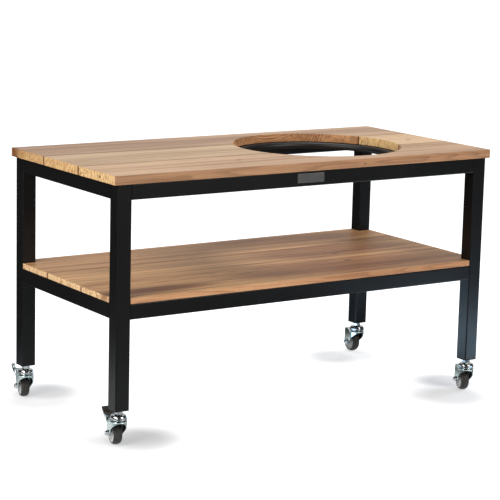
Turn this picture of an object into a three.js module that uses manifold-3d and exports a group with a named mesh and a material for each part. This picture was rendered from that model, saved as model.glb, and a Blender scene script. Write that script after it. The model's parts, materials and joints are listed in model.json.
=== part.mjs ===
// Kamado grill table: a hardwood plank top with a round cut-out, a plank shelf below it and a welded
// square-tube steel frame on four swivel castors, two of them braked.
// Millimetres, +Z up, floor at z = 0, the front of the table towards -Y and its length along X.
// The pieces are placed about the middle of the table, and the whole is centred on its own box last.

import * as THREE from "three";
import { mergeVertices } from "three/addons/utils/BufferGeometryUtils.js";
import Module from "manifold-3d";

const wasm = await Module();
wasm.setup();

// Whole table
const tableHeight = 867;
const jointClearance = 0.3;
const cutOverrun = 5;
const weldDistance = 1e-4;

// Plank top
const topLength = 1490;
const topDepth = 708;
const topThickness = 29;
const topPlankRows = 3;
const topSeam = 1.6;
const topEase = 1.6;
const cutoutMargin = 61;
const cutoutDiameter = topDepth - 2 * cutoutMargin;
const cutoutOffsetX = 258;

// Steel frame, a little smaller than the top all round
const endOverhang = 14.5;
const sideOverhang = 6.5;
const frameLength = topLength - 2 * endOverhang;
const frameDepth = topDepth - 2 * sideOverhang;
const tubeSize = 50;
const tubeWall = 2;
const tubeCornerRadius = 3.5;
const lowerRailTop = 461;

// Ring under the cut-out
const ringTubeDiameter = 25;

// Plank shelf
const shelfThickness = 18.5;
const shelfPlankRows = 3;
const shelfSeam = 1.6;
const shelfEase = 1.2;
const shelfLegClearance = 1;

// Bare plate on the front rail
const plateWidth = 107;
const plateHeight = 31;
const plateThickness = 1.5;
const plateCornerRadius = 2;
const plateOffsetX = -10;
const plateRise = 2;

// Threaded insert that closes the foot of each leg
const insertFlange = 3;
const insertDepth = 24;

// Castor wheel
const wheelDiameter = 75;
const tyreWidth = 29;
const tyreDepth = 7;
const tyreShoulder = 5.5;
const hubBossRadius = 10;
const hubFaceInset = 1.5;
const hubDish = 2.4;
const hubDishRadius = 23;
const trail = 32;

// Castor fork, pressed from one plate
const forkPlate = 2.5;
const forkCrownPlate = 3;
const forkCrownClearance = 9;
const forkSkirtRadius = 27.5;
const forkLipRadius = 29;
const forkLipHeight = 2.2;
const forkSkirtDepth = 6;
const forkHalfWidth = 24;
const forkRoofReach = 46;
const forkRoofCorner = 5;
const forkRoofRise = 3.5;
const forkRoofRiseStart = 24;
const forkEndRadius = 14;
const forkEndRise = 4.5;
const forkEndSetback = 2;
const raceRadius = 22;
const raceTopRadius = 17;
const raceHeight = 5.5;

// Castor head, stem and axle
const headStandoff = 3;
const headHeight = 14.5;
const headLipRadius = 28;
const headLip = 1.3;
const headDomeRadius = 26.5;
const headTopRadius = 19;
const headPlate = 2.5;
const stemRadius = 8;
const stemLength = 21;
const stemNutHeight = 15;
const stemNutFlats = 24;
const stemFlangeRadius = 13;
const stemFlangeHeight = 3;
const axleRadius = 5;
const axleNutFlats = 16;
const axleNutHeight = 8.2;
const axleHeadRadius = 7;
const axleHeadHeight = 2.8;
const axleTip = 2;

// Brake lever of the two left castors
const leverPlate = 2.5;
const leverPivotInset = 5;
const leverPivotDrop = 5;
const leverArmRadius = 7.5;
const leverPinRadius = 2.5;
const leverPinHeadRadius = 4;
const leverPinHeadHeight = 1.5;
const leverSideGap = 0.5;
const leverReach = 45;
const leverRise = 32;
const leverFlare = 4.5;
const leverFlange = 10;
const leverPressDegrees = 18;
const shoeReach = 13;
const shoeDrop = 1.5;
const shoeHalfWidth = 9;
const brakeGap = 0.5;

// Where each castor points in the photographed pose: degrees that its trail is turned from +Y towards +X
const trailAngles = { front_left: 13, rear_left: 14, front_right: 21.5, rear_right: 5 };
const brakedCorners = ["front_left", "rear_left"];
// How far each pedal is pressed there, in degrees: the rear one stands half way
const pedalDegrees = { front_left: 0, rear_left: 10 };

// Facets
const tubeCornerSegments = 3;
const cutoutSegments = 96;
const ringSegments = 56;
const ringTubeSegments = 10;
const tyreSegments = 30;
const tyreShoulderSegments = 3;
const hubSegments = 18;
const headSegments = 22;
const headDomeSegments = 4;
const headInsideSegments = 2;
const skirtSegments = 12;
const forkEndSegments = 9;
const cornerSegments = 3;
const noseSegments = 6;
const boltSegments = 10;
const hexSides = 6;

// Heights that stack up from the floor through a castor
const wheelRadius = wheelDiameter / 2;
const crownUnderside = wheelDiameter + forkCrownClearance;
const crownTop = crownUnderside + forkCrownPlate;
const headBottom = crownTop + headStandoff;
const headTop = headBottom + headHeight;
const stemNutBottom = headTop + jointClearance;
const castorHeight = stemNutBottom + stemNutHeight;

// Heights and places in the frame
const legBottom = castorHeight + insertFlange;
const frameTop = tableHeight - topThickness;
const halfFrameLength = frameLength / 2;
const halfFrameDepth = frameDepth / 2;
const legX = halfFrameLength - tubeSize / 2;
const legY = halfFrameDepth - tubeSize / 2;
const innerLength = frameLength - 2 * tubeSize;
const innerDepth = frameDepth - 2 * tubeSize;
const cutoutRadius = cutoutDiameter / 2;
const ringOuterRadius = innerDepth / 2 - jointClearance;

// Finishes
function paint(color, roughness, metalness) {
  return new THREE.MeshStandardMaterial({ color, roughness, metalness });
}

const oiledTeak = paint(0xc9ab87, 0.62, 0);
const shelfTeak = paint(0xb48a5c, 0.6, 0);
const blackPowderCoat = paint(0x1b1b1c, 0.48, 0.1);
const blackMoulding = paint(0x161616, 0.6, 0);
const brushedPlate = paint(0x5d5d5b, 0.4, 0.9);
const brightZinc = paint(0xbfc8c9, 0.28, 1);
const greyRubber = paint(0x3b3a38, 0.75, 0);
const greyHub = paint(0xb9bcb8, 0.5, 0);

const table = new THREE.Group();

function addPiece(parent, name, geometry, material) {
  const piece = new THREE.Mesh(geometry, material);
  piece.name = name;
  parent.add(piece);
  return piece;
}

// Solids that a boolean works on
function toSolid(geometry) {
  const bare = geometry.clone();
  bare.deleteAttribute("normal");
  bare.deleteAttribute("uv");
  const merged = mergeVertices(bare, weldDistance);
  return new wasm.Manifold(new wasm.Mesh({
    numProp: 3,
    vertProperties: Float32Array.from(merged.attributes.position.array),
    triVerts: Uint32Array.from(merged.index.array),
  }));
}

function toGeometry(solid) {
  const mesh = solid.getMesh();
  const geometry = new THREE.BufferGeometry();
  geometry.setAttribute("position", new THREE.BufferAttribute(Float32Array.from(mesh.vertProperties), 3));
  geometry.setIndex(new THREE.BufferAttribute(Uint32Array.from(mesh.triVerts), 1));
  geometry.computeVertexNormals();
  return geometry;
}

// Outlines
function arcPoints(centreX, centreY, radius, startAngle, endAngle, segments) {
  const points = [];
  for (let i = 0; i <= segments; i += 1) {
    const angle = startAngle + ((endAngle - startAngle) * i) / segments;
    points.push([centreX + radius * Math.cos(angle), centreY + radius * Math.sin(angle)]);
  }
  return points;
}

function polygonOutline(points) {
  return new THREE.Shape(points.map(([x, y]) => new THREE.Vector2(x, y)));
}

function roundedRectangle(width, height, radius) {
  const quarter = Math.PI / 2;
  const corners = [[1, 1], [-1, 1], [-1, -1], [1, -1]];
  return polygonOutline(corners.flatMap(([sideX, sideY], i) => arcPoints(
    sideX * (width / 2 - radius), sideY * (height / 2 - radius), radius,
    i * quarter, (i + 1) * quarter, tubeCornerSegments)));
}

function square(size) {
  const half = size / 2;
  return polygonOutline([[half, half], [-half, half], [-half, -half], [half, -half]]);
}

function hexagon(flats) {
  const cornerRadius = flats / (2 * Math.cos(Math.PI / hexSides));
  return polygonOutline(arcPoints(0, 0, cornerRadius, 0, 2 * Math.PI, hexSides).slice(0, hexSides));
}

function extrude(outline, depth) {
  return new THREE.ExtrudeGeometry(outline, { depth, bevelEnabled: false });
}

// A board with its arrises eased: the outline is full size at mid thickness and draws in at both faces
function easedBoard(outline, thickness, ease) {
  const board = new THREE.ExtrudeGeometry(outline, {
    depth: thickness - 2 * ease,
    bevelEnabled: true,
    bevelThickness: ease,
    bevelSize: ease,
    bevelOffset: -ease,
    bevelSegments: 1,
  });
  board.translate(0, 0, ease);
  return board;
}

// A square tube standing on z = 0 about the Z axis, open at both ends
function squareTube(length) {
  const outline = roundedRectangle(tubeSize, tubeSize, tubeCornerRadius);
  outline.holes.push(square(tubeSize - 2 * tubeWall));
  return extrude(outline, length);
}

// Top: three rows of planks, the middle row cut in two by the cut-out and both others cut into by it.
// The stretch of the cut-out's edge between two angles about its centre
function cutoutEdge(startAngle, endAngle) {
  const segments = Math.ceil((Math.abs(endAngle - startAngle) / (2 * Math.PI)) * cutoutSegments);
  return arcPoints(cutoutOffsetX, 0, cutoutRadius, startAngle, endAngle, segments);
}

function outerTopPlank(side) {
  const inner = topDepth / topPlankRows / 2 + topSeam / 2;
  const outer = topDepth / 2;
  const angle = Math.asin(inner / cutoutRadius);
  const outline = polygonOutline([
    [-topLength / 2, inner],
    ...cutoutEdge(Math.PI - angle, angle),
    [topLength / 2, inner],
    [topLength / 2, outer],
    [-topLength / 2, outer],
  ]);
  const board = easedBoard(outline, topThickness, topEase);
  if (side < 0) {
    board.rotateX(Math.PI);
    board.translate(0, 0, topThickness);
  }
  return board;
}

function middleTopPlank(side) {
  const halfWidth = topDepth / topPlankRows / 2 - topSeam / 2;
  const angle = Math.asin(halfWidth / cutoutRadius);
  const middle = side < 0 ? Math.PI : 0;
  return easedBoard(polygonOutline([
    [(side * topLength) / 2, side * halfWidth],
    ...cutoutEdge(middle + angle, middle - angle),
    [(side * topLength) / 2, -side * halfWidth],
  ]), topThickness, topEase);
}

const topPlanks = {
  top_plank_rear: outerTopPlank(1),
  top_plank_middle_left: middleTopPlank(-1),
  top_plank_middle_right: middleTopPlank(1),
  top_plank_front: outerTopPlank(-1),
};
for (const [name, geometry] of Object.entries(topPlanks)) {
  addPiece(table, name, geometry, oiledTeak).position.z = frameTop;
}

// Shelf: three planks on the lower rails, flush with the frame and notched round the legs
function outerShelfPlank(side) {
  const inner = frameDepth / shelfPlankRows / 2 + shelfSeam / 2;
  const notchX = halfFrameLength - tubeSize - shelfLegClearance;
  const notchY = halfFrameDepth - tubeSize - shelfLegClearance;
  const outline = polygonOutline([
    [-halfFrameLength, inner],
    [halfFrameLength, inner],
    [halfFrameLength, notchY],
    [notchX, notchY],
    [notchX, halfFrameDepth],
    [-notchX, halfFrameDepth],
    [-notchX, notchY],
    [-halfFrameLength, notchY],
  ]);
  const board = easedBoard(outline, shelfThickness, shelfEase);
  if (side < 0) {
    board.rotateX(Math.PI);
    board.translate(0, 0, shelfThickness);
  }
  return board;
}

function middleShelfPlank() {
  const halfWidth = frameDepth / shelfPlankRows / 2 - shelfSeam / 2;
  const outline = polygonOutline([
    [-halfFrameLength, -halfWidth],
    [halfFrameLength, -halfWidth],
    [halfFrameLength, halfWidth],
    [-halfFrameLength, halfWidth],
  ]);
  return easedBoard(outline, shelfThickness, shelfEase);
}

const shelfPlanks = {
  shelf_plank_rear: outerShelfPlank(1),
  shelf_plank_middle: middleShelfPlank(),
  shelf_plank_front: outerShelfPlank(-1),
};
for (const [name, geometry] of Object.entries(shelfPlanks)) {
  addPiece(table, name, geometry, shelfTeak).position.z = lowerRailTop;
}

// Frame: four legs, two rings of rails flush between them and a cross rail in each
const corners = {
  front_left: [-legX, -legY],
  front_right: [legX, -legY],
  rear_left: [-legX, legY],
  rear_right: [legX, legY],
};
for (const [corner, [x, y]] of Object.entries(corners)) {
  const leg = addPiece(table, `leg_${corner}`, squareTube(frameTop - legBottom), blackPowderCoat);
  leg.position.set(x, y, legBottom);
}

function addRailAlongX(name, y, topZ) {
  const rail = squareTube(innerLength);
  rail.rotateY(Math.PI / 2);
  addPiece(table, name, rail, blackPowderCoat).position.set(-innerLength / 2, y, topZ - tubeSize / 2);
}

function addRailAlongY(name, x, topZ) {
  const rail = squareTube(innerDepth);
  rail.rotateX(-Math.PI / 2);
  addPiece(table, name, rail, blackPowderCoat).position.set(x, -innerDepth / 2, topZ - tubeSize / 2);
}

const crossRailX = cutoutOffsetX - ringOuterRadius - jointClearance - tubeSize / 2;
for (const [level, topZ, crossX] of [["top", frameTop, crossRailX], ["lower", lowerRailTop, 0]]) {
  addRailAlongX(`${level}_rail_front`, -legY, topZ);
  addRailAlongX(`${level}_rail_rear`, legY, topZ);
  addRailAlongY(`${level}_rail_left`, -legX, topZ);
  addRailAlongY(`${level}_rail_right`, legX, topZ);
  addRailAlongY(`${level}_rail_cross`, crossX, topZ);
}

// Ring: a round tube rolled to touch the front, rear and cross rails, close under the planks
const ringTubeRadius = ringTubeDiameter / 2;
const supportRing = new THREE.TorusGeometry(
  ringOuterRadius - ringTubeRadius, ringTubeRadius, ringTubeSegments, ringSegments);
addPiece(table, "support_ring", supportRing, blackPowderCoat)
  .position.set(cutoutOffsetX, 0, frameTop - jointClearance - ringTubeRadius);

// Bare plate on the face of the front rail
const plate = extrude(roundedRectangle(plateWidth, plateHeight, plateCornerRadius), plateThickness);
plate.rotateX(Math.PI / 2);
addPiece(table, "name_plate", plate, brushedPlate)
  .position.set(plateOffsetX, -halfFrameDepth, frameTop - tubeSize / 2 + plateRise);

// The corner radius of a faceted bore whose flats clear a round shaft
function boreRadius(shaftRadius) {
  return (shaftRadius + jointClearance) / Math.cos(Math.PI / boltSegments);
}

// Insert: a plug in the foot of the leg with a flange under the tube and a hole for the stem
function legInsert() {
  const plug = toSolid(extrude(square(tubeSize - 2 * (tubeWall + jointClearance)), insertDepth));
  const flange = toSolid(extrude(roundedRectangle(tubeSize, tubeSize, tubeCornerRadius), insertFlange));
  const stemBore = boreRadius(stemRadius);
  const bore = new THREE.CylinderGeometry(stemBore, stemBore, insertDepth + 2 * cutOverrun, boltSegments);
  bore.rotateX(Math.PI / 2);
  bore.translate(0, 0, insertDepth / 2);
  return toGeometry(plug.add(flange).subtract(toSolid(bore)));
}

// Castor pieces, each about its swivel axis: +X is the way the wheel trails, +Y its left side
function latheAboutZ(points, segments) {
  const ring = new THREE.LatheGeometry(points.map(([r, z]) => new THREE.Vector2(r, z)), segments);
  ring.rotateX(Math.PI / 2);
  return ring;
}

function cylinderAlongY(radius, fromY, toY, x, z, segments) {
  const cylinder = new THREE.CylinderGeometry(radius, radius, toY - fromY, segments);
  cylinder.translate(x, (fromY + toY) / 2, z);
  return cylinder;
}

function hexAlongY(flats, fromY, toY, x, z) {
  const prism = extrude(hexagon(flats), toY - fromY);
  prism.rotateX(-Math.PI / 2);
  prism.translate(x, fromY, z);
  return prism;
}

// Stem: a threaded shank with a hexagon under the leg and a riveted flange under the fork crown
function stem() {
  const flangeTop = crownUnderside - jointClearance;
  const flangeBottom = flangeTop - stemFlangeHeight;
  const shank = latheAboutZ([
    [0, flangeBottom],
    [stemFlangeRadius, flangeBottom],
    [stemFlangeRadius, flangeTop],
    [stemRadius, flangeTop],
    [stemRadius, castorHeight + stemLength],
    [0, castorHeight + stemLength],
  ], boltSegments);
  const hexagonHead = extrude(hexagon(stemNutFlats), stemNutHeight - jointClearance);
  hexagonHead.translate(0, 0, stemNutBottom);
  return toGeometry(toSolid(shank).add(toSolid(hexagonHead)));
}

// Head: a pressed cup over the ball race, domed down from a flat top to a thin lip
function head() {
  const stemBore = boreRadius(stemRadius);
  const lipTop = headBottom + headLip;
  const dome = (inset, segments) => arcPoints(0, 0, 1, 0, Math.PI / 2, segments).map(([across, up]) => [
    headTopRadius + (headDomeRadius - headTopRadius - inset) * across,
    lipTop + (headTop - lipTop - inset) * up,
  ]);
  return latheAboutZ([
    [headDomeRadius - headPlate, headBottom],
    [headLipRadius, headBottom],
    [headLipRadius, lipTop],
    ...dome(0, headDomeSegments),
    [stemBore, headTop],
    [stemBore, headTop - headPlate],
    ...dome(headPlate, headInsideSegments).reverse(),
    [headDomeRadius - headPlate, headBottom],
  ], headSegments);
}

// Fork: seen from above a round skirt that runs back in two flat cheeks, seen from the side a low skirt
// in front, a slanted edge down to a round end about the axle, and a roof over the wheel
function forkPlan(skirtRadius, halfWidth, rearX) {
  const flatX = trail - forkEndRadius;
  const distance = Math.hypot(flatX, halfWidth);
  const tangent = Math.atan2(halfWidth, flatX) + Math.acos(skirtRadius / distance);
  return polygonOutline([
    [rearX, -halfWidth],
    [rearX, halfWidth],
    [flatX, halfWidth],
    ...arcPoints(0, 0, skirtRadius, tangent, 2 * Math.PI - tangent, skirtSegments),
    [flatX, -halfWidth],
  ]);
}

// The angle, seen from a point outside a circle, at which a line from that point touches the circle
function touchingAngle(fromX, fromZ, centreX, centreZ, radius, side) {
  const toCentre = Math.atan2(fromZ - centreZ, fromX - centreX);
  return toCentre + side * Math.acos(radius / Math.hypot(fromX - centreX, fromZ - centreZ));
}

// The roof from the side is level over the crown and rises smoothly to its rear end
const roofRiseShares = [
  [0, 0],
  [0.33, 0.26],
  [0.67, 0.74],
  [1, 1],
];
const roofCornerX = forkRoofReach - forkRoofCorner;

function roofLine(drop) {
  return roofRiseShares.map(([along, up]) => [
    forkRoofRiseStart + (roofCornerX - forkRoofRiseStart) * along,
    crownTop + forkRoofRise * up - drop,
  ]);
}

function forkSide() {
  const archTop = crownTop - forkSkirtDepth;
  const endX = trail + forkEndSetback;
  const endZ = wheelRadius + forkEndRise;
  const rearCornerZ = crownTop + forkRoofRise - forkRoofCorner;
  const frontTouch = touchingAngle(-forkSkirtRadius, archTop, endX, endZ, forkEndRadius, 1) - 2 * Math.PI;
  const rearTouch = touchingAngle(forkRoofReach, rearCornerZ, endX, endZ, forkEndRadius, -1);
  const slant = Math.tan(frontTouch + Math.PI / 2);
  return polygonOutline([
    [-forkLipRadius, crownTop],
    ...roofLine(0).slice(0, -1),
    ...arcPoints(roofCornerX, rearCornerZ, forkRoofCorner, Math.PI / 2, 0, cornerSegments),
    ...arcPoints(endX, endZ, forkEndRadius, rearTouch, frontTouch, forkEndSegments),
    [-forkLipRadius, archTop + slant * (forkSkirtRadius - forkLipRadius)],
  ]);
}

// The room under the fork's roof, from the side
function forkHollowSide(farX) {
  return polygonOutline([
    [-forkLipRadius, -cutOverrun],
    [farX, -cutOverrun],
    [farX, crownUnderside + forkRoofRise],
    ...roofLine(forkCrownPlate).reverse(),
    [-forkLipRadius, crownUnderside],
  ]);
}

// The solid that has one outline from above and another from the side
function crossBlock(plan, side, bottomZ, topZ, halfWidth) {
  const fromAbove = extrude(plan, topZ - bottomZ);
  fromAbove.translate(0, 0, bottomZ);
  const fromTheSide = extrude(side, 2 * halfWidth);
  fromTheSide.rotateX(Math.PI / 2);
  fromTheSide.translate(0, halfWidth, 0);
  return toSolid(fromAbove).intersect(toSolid(fromTheSide));
}

const leverPivotX = forkRoofReach - leverPivotInset;
const leverPivotZ = crownUnderside - leverPivotDrop;

function fork(braked) {
  const widest = forkLipRadius + cutOverrun;
  const highest = crownTop + forkRoofRise;
  const rearX = trail + 2 * forkEndRadius;
  const farX = rearX + cutOverrun;
  const shell = crossBlock(
    forkPlan(forkSkirtRadius, forkHalfWidth, rearX), forkSide(), 0, highest, widest);
  const inside = crossBlock(
    forkPlan(forkSkirtRadius - forkPlate, forkHalfWidth - forkPlate, farX),
    forkHollowSide(farX), -cutOverrun, highest, widest);
  const stemBore = boreRadius(stemRadius);
  const crown = latheAboutZ([
    [0, crownTop - forkLipHeight],
    [forkLipRadius, crownTop - forkLipHeight],
    [forkLipRadius, crownTop],
    [raceRadius, crownTop],
    [raceRadius, crownTop + raceHeight / 2],
    [raceTopRadius, crownTop + raceHeight],
    [0, crownTop + raceHeight],
  ], headSegments);
  const bore = new THREE.CylinderGeometry(stemBore, stemBore, crownTop, boltSegments);
  bore.rotateX(Math.PI / 2);
  bore.translate(0, 0, crownTop);
  let solid = shell.subtract(inside).add(toSolid(crown)).subtract(toSolid(bore));
  const axleBore = cylinderAlongY(boreRadius(axleRadius), -widest, widest, trail, wheelRadius, boltSegments);
  solid = solid.subtract(toSolid(axleBore));
  if (braked) {
    const pinBore = cylinderAlongY(
      boreRadius(leverPinRadius), -widest, widest, leverPivotX, leverPivotZ, boltSegments);
    solid = solid.subtract(toSolid(pinBore));
  }
  return toGeometry(solid);
}

// Axle: a bolt through both cheeks, its low round head on the right and its nut on the left
function axleBolt() {
  const seat = forkHalfWidth + jointClearance;
  const tipY = seat + axleNutHeight + axleTip;
  const shankEnd = -seat - axleHeadHeight / 2;
  const shank = cylinderAlongY(axleRadius, shankEnd, tipY, trail, wheelRadius, boltSegments);
  const boltHead = cylinderAlongY(
    axleHeadRadius, -seat - axleHeadHeight, -seat, trail, wheelRadius, boltSegments);
  return toGeometry(toSolid(shank).add(toSolid(boltHead)));
}

function axleNut() {
  const seat = forkHalfWidth + jointClearance;
  const nut = hexAlongY(axleNutFlats, seat, seat + axleNutHeight, trail, wheelRadius);
  const thread = cylinderAlongY(
    boreRadius(axleRadius), 0, seat + axleNutHeight + cutOverrun, trail, wheelRadius, boltSegments);
  return toGeometry(toSolid(nut).subtract(toSolid(thread)));
}

// Wheel: a hub with a long boss and dished faces inside a round-shouldered tyre
function latheAboutAxle(points, segments) {
  const ring = new THREE.LatheGeometry(points.map(([r, y]) => new THREE.Vector2(r, y)), segments);
  ring.translate(trail, 0, wheelRadius);
  return ring;
}

const hubRadius = wheelRadius - tyreDepth - jointClearance;

function hub() {
  const axleBore = boreRadius(axleRadius);
  const bossHalf = forkHalfWidth - forkPlate - jointClearance;
  const rimHalf = tyreWidth / 2 - hubFaceInset;
  const side = [
    [axleBore, bossHalf],
    [hubBossRadius, bossHalf],
    [hubBossRadius, rimHalf - hubDish],
    [hubDishRadius, rimHalf - hubDish],
    [hubRadius, rimHalf],
  ];
  const mirrored = side.map(([r, y]) => [r, -y]);
  return latheAboutAxle([...mirrored, ...side.reverse(), mirrored[0]], hubSegments);
}

function tyre() {
  const innerRadius = wheelRadius - tyreDepth;
  const half = tyreWidth / 2;
  const shoulder = arcPoints(
    wheelRadius - tyreShoulder, half - tyreShoulder, tyreShoulder, 0, Math.PI / 2, tyreShoulderSegments);
  const side = [...shoulder, [innerRadius, half - hubFaceInset / 2]];
  const mirrored = side.map(([r, y]) => [r, -y]).reverse();
  return latheAboutAxle([...mirrored, ...side, mirrored[0]], tyreSegments);
}

// Brake lever: two arms outside the cheeks, a pedal that rises behind the fork and widens to its tip, and
// a shoe that stands clear of the tyre until the pedal is pressed. Its top line and width are shares of
// its reach, rise and flare, and its flange at each point of the top line is a share of the full depth.
const leverTopShares = [
  [0.13, 0.38],
  [0.33, 0.46],
  [0.56, 0.62],
  [0.78, 0.85],
  [0.91, 0.97],
  [1, 1],
];
const leverWidthShares = [
  [0.3, 0],
  [0.5, 0.6],
  [0.8, 1],
  [0.95, 0.98],
  [1, 0.7],
];
const leverFlangeShares = [1.2, 1, 0.75, 0.3, 0, 0];
const leverArmInner = forkHalfWidth + leverSideGap;

function leverTopLine(drop) {
  return leverTopShares.map(([along, up]) => [
    leverPivotX + leverReach * along,
    leverPivotZ + leverRise * up - drop,
  ]);
}

function leverPlan(inset) {
  const half = leverArmInner + leverPlate - inset;
  const side = leverWidthShares.map(([along, out]) => [
    leverPivotX + (leverReach - inset) * along,
    half + leverFlare * out,
  ]);
  const frontX = leverPivotX - 2 * leverArmRadius;
  const mirrored = side.map(([x, y]) => [x, -y]);
  return polygonOutline([[frontX, -half], ...mirrored, ...side.reverse(), [frontX, half]]);
}

// The lever from the side: round about the pin, and along its top line with a flange that runs out at the tip
function leverSide() {
  const upper = leverTopLine(0);
  const lower = upper.map(([x, z], i) => [x, z - leverPlate - leverFlange * leverFlangeShares[i]]);
  return polygonOutline([
    ...arcPoints(leverPivotX, leverPivotZ, leverArmRadius, Math.PI, 2 * Math.PI, noseSegments),
    ...lower.slice(1),
    ...upper.reverse(),
  ]);
}

// The room below the pedal's plate and between its flanges and arms
function leverHollow() {
  const upper = leverTopLine(leverPlate);
  const farX = leverPivotX + leverReach + leverArmRadius;
  const nearX = leverPivotX - 2 * leverArmRadius;
  const floor = leverPivotZ - 2 * leverArmRadius;
  const side = polygonOutline([
    [nearX, floor],
    [farX, floor],
    [farX, upper[upper.length - 1][1]],
    ...upper.reverse(),
    [nearX, leverPivotZ + leverRise],
  ]);
  return leverBlock(leverPlan(leverPlate), side);
}

function leverBlock(plan, side) {
  const highest = leverPivotZ + leverRise + cutOverrun;
  return crossBlock(plan, side, 0, highest, leverArmInner + leverPlate + leverFlare + cutOverrun);
}

// The shoe is a rib under the pedal with a round nose, sized so that the pressed nose just clears the tyre
function leverShoe() {
  const noseX = leverPivotX + shoeReach;
  const noseZ = leverPivotZ - shoeDrop;
  const press = (leverPressDegrees * Math.PI) / 180;
  const pressedX = leverPivotX + shoeReach * Math.cos(press) - shoeDrop * Math.sin(press);
  const pressedZ = leverPivotZ - shoeDrop * Math.cos(press) - shoeReach * Math.sin(press);
  const noseRadius = Math.hypot(pressedX - trail, pressedZ - wheelRadius) - wheelRadius - brakeGap;
  const outline = polygonOutline([
    ...arcPoints(noseX, noseZ, noseRadius, Math.PI, 2 * Math.PI, noseSegments),
    [noseX + noseRadius, leverPivotZ + leverRise],
    [noseX - noseRadius, leverPivotZ + leverRise],
  ]);
  const rib = extrude(outline, 2 * shoeHalfWidth);
  rib.rotateX(Math.PI / 2);
  rib.translate(0, shoeHalfWidth, 0);
  const upper = leverTopLine(leverPlate / 2);
  const under = polygonOutline([[leverPivotX, 0], [leverPivotX + leverReach, 0], ...upper.reverse()]);
  return toSolid(rib).intersect(leverBlock(leverPlan(0), under));
}

function brakeLever(setDegrees) {
  const half = leverArmInner + leverPlate + cutOverrun;
  const pinBore = cylinderAlongY(
    boreRadius(leverPinRadius), -half, half, leverPivotX, leverPivotZ, boltSegments);
  const pedal = leverBlock(leverPlan(0), leverSide()).subtract(leverHollow());
  const lever = toGeometry(pedal.add(leverShoe()).subtract(toSolid(pinBore)));
  lever.translate(-leverPivotX, 0, -leverPivotZ);
  lever.rotateY((setDegrees * Math.PI) / 180);
  lever.translate(leverPivotX, 0, leverPivotZ);
  return lever;
}

function brakePin() {
  const seat = leverArmInner + leverPlate + jointClearance;
  const end = seat + leverPinHeadHeight;
  const shankEnd = seat + leverPinHeadHeight / 2;
  const shank = cylinderAlongY(leverPinRadius, -shankEnd, shankEnd, leverPivotX, leverPivotZ, boltSegments);
  const left = cylinderAlongY(leverPinHeadRadius, seat, end, leverPivotX, leverPivotZ, boltSegments);
  const right = cylinderAlongY(leverPinHeadRadius, -end, -seat, leverPivotX, leverPivotZ, boltSegments);
  return toGeometry(toSolid(shank).add(toSolid(left)).add(toSolid(right)));
}

for (const [corner, [x, y]] of Object.entries(corners)) {
  addPiece(table, `leg_insert_${corner}`, legInsert(), blackMoulding).position.set(x, y, castorHeight);
  const castor = new THREE.Group();
  castor.position.set(x, y, 0);
  castor.rotation.z = ((90 - trailAngles[corner]) * Math.PI) / 180;
  const braked = brakedCorners.includes(corner);
  addPiece(castor, `castor_stem_${corner}`, stem(), brightZinc);
  addPiece(castor, `castor_head_${corner}`, head(), brightZinc);
  addPiece(castor, `castor_fork_${corner}`, fork(braked), brightZinc);
  addPiece(castor, `castor_axle_${corner}`, axleBolt(), brightZinc);
  addPiece(castor, `castor_nut_${corner}`, axleNut(), brightZinc);
  addPiece(castor, `castor_hub_${corner}`, hub(), greyHub);
  addPiece(castor, `castor_tyre_${corner}`, tyre(), greyRubber);
  if (braked) {
    addPiece(castor, `brake_lever_${corner}`, brakeLever(pedalDegrees[corner]), brightZinc);
    addPiece(castor, `brake_pin_${corner}`, brakePin(), brightZinc);
  }
  table.add(castor);
}

// The origin is the middle of the table's own box, on the floor
table.updateMatrixWorld(true);
const middle = new THREE.Box3().setFromObject(table, true).getCenter(new THREE.Vector3());
table.position.set(-middle.x, -middle.y, 0);

export default table;
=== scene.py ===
"""Dresses the kamado grill table: oiled hardwood planks, powder-coated square tube and zinc-plated castors."""

import json

import bmesh
import bpy
import numpy as np
from mathutils import Matrix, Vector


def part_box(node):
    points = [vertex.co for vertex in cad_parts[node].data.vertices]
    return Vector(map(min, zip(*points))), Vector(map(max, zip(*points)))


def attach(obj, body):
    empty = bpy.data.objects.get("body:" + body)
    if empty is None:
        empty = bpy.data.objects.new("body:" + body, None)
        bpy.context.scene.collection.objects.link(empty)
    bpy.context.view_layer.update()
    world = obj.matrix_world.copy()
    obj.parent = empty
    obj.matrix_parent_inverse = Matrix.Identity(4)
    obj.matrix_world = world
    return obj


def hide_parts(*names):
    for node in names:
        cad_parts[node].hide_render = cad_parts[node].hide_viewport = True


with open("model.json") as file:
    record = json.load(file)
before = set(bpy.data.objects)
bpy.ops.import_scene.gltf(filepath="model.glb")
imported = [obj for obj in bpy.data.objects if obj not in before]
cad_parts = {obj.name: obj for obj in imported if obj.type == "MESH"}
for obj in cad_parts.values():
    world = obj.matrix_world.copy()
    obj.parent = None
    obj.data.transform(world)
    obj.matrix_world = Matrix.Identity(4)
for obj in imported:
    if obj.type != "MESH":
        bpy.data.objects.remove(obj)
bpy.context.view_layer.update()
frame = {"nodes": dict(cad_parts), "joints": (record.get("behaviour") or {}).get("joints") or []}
joints = {joint["name"]: joint for joint in frame["joints"]}

MM = 0.001
CORNERS = ("front_left", "front_right", "rear_left", "rear_right")
scene = bpy.context.scene
scene.view_settings.view_transform = "Standard"


# Camera, floor and light

PICTURE = 500
FOCAL_LENGTH = 1860.7
PICTURE_CENTRE = (212.9, 233.4)
CAMERA_PLACE = np.array([-3.50033, -5.26212, 1.71851])
CAMERA_FORWARD = np.array([0.52923, 0.82924, -0.17963])
CAMERA_RIGHT = np.array([0.84481, -0.53465, 0.02086])
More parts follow.
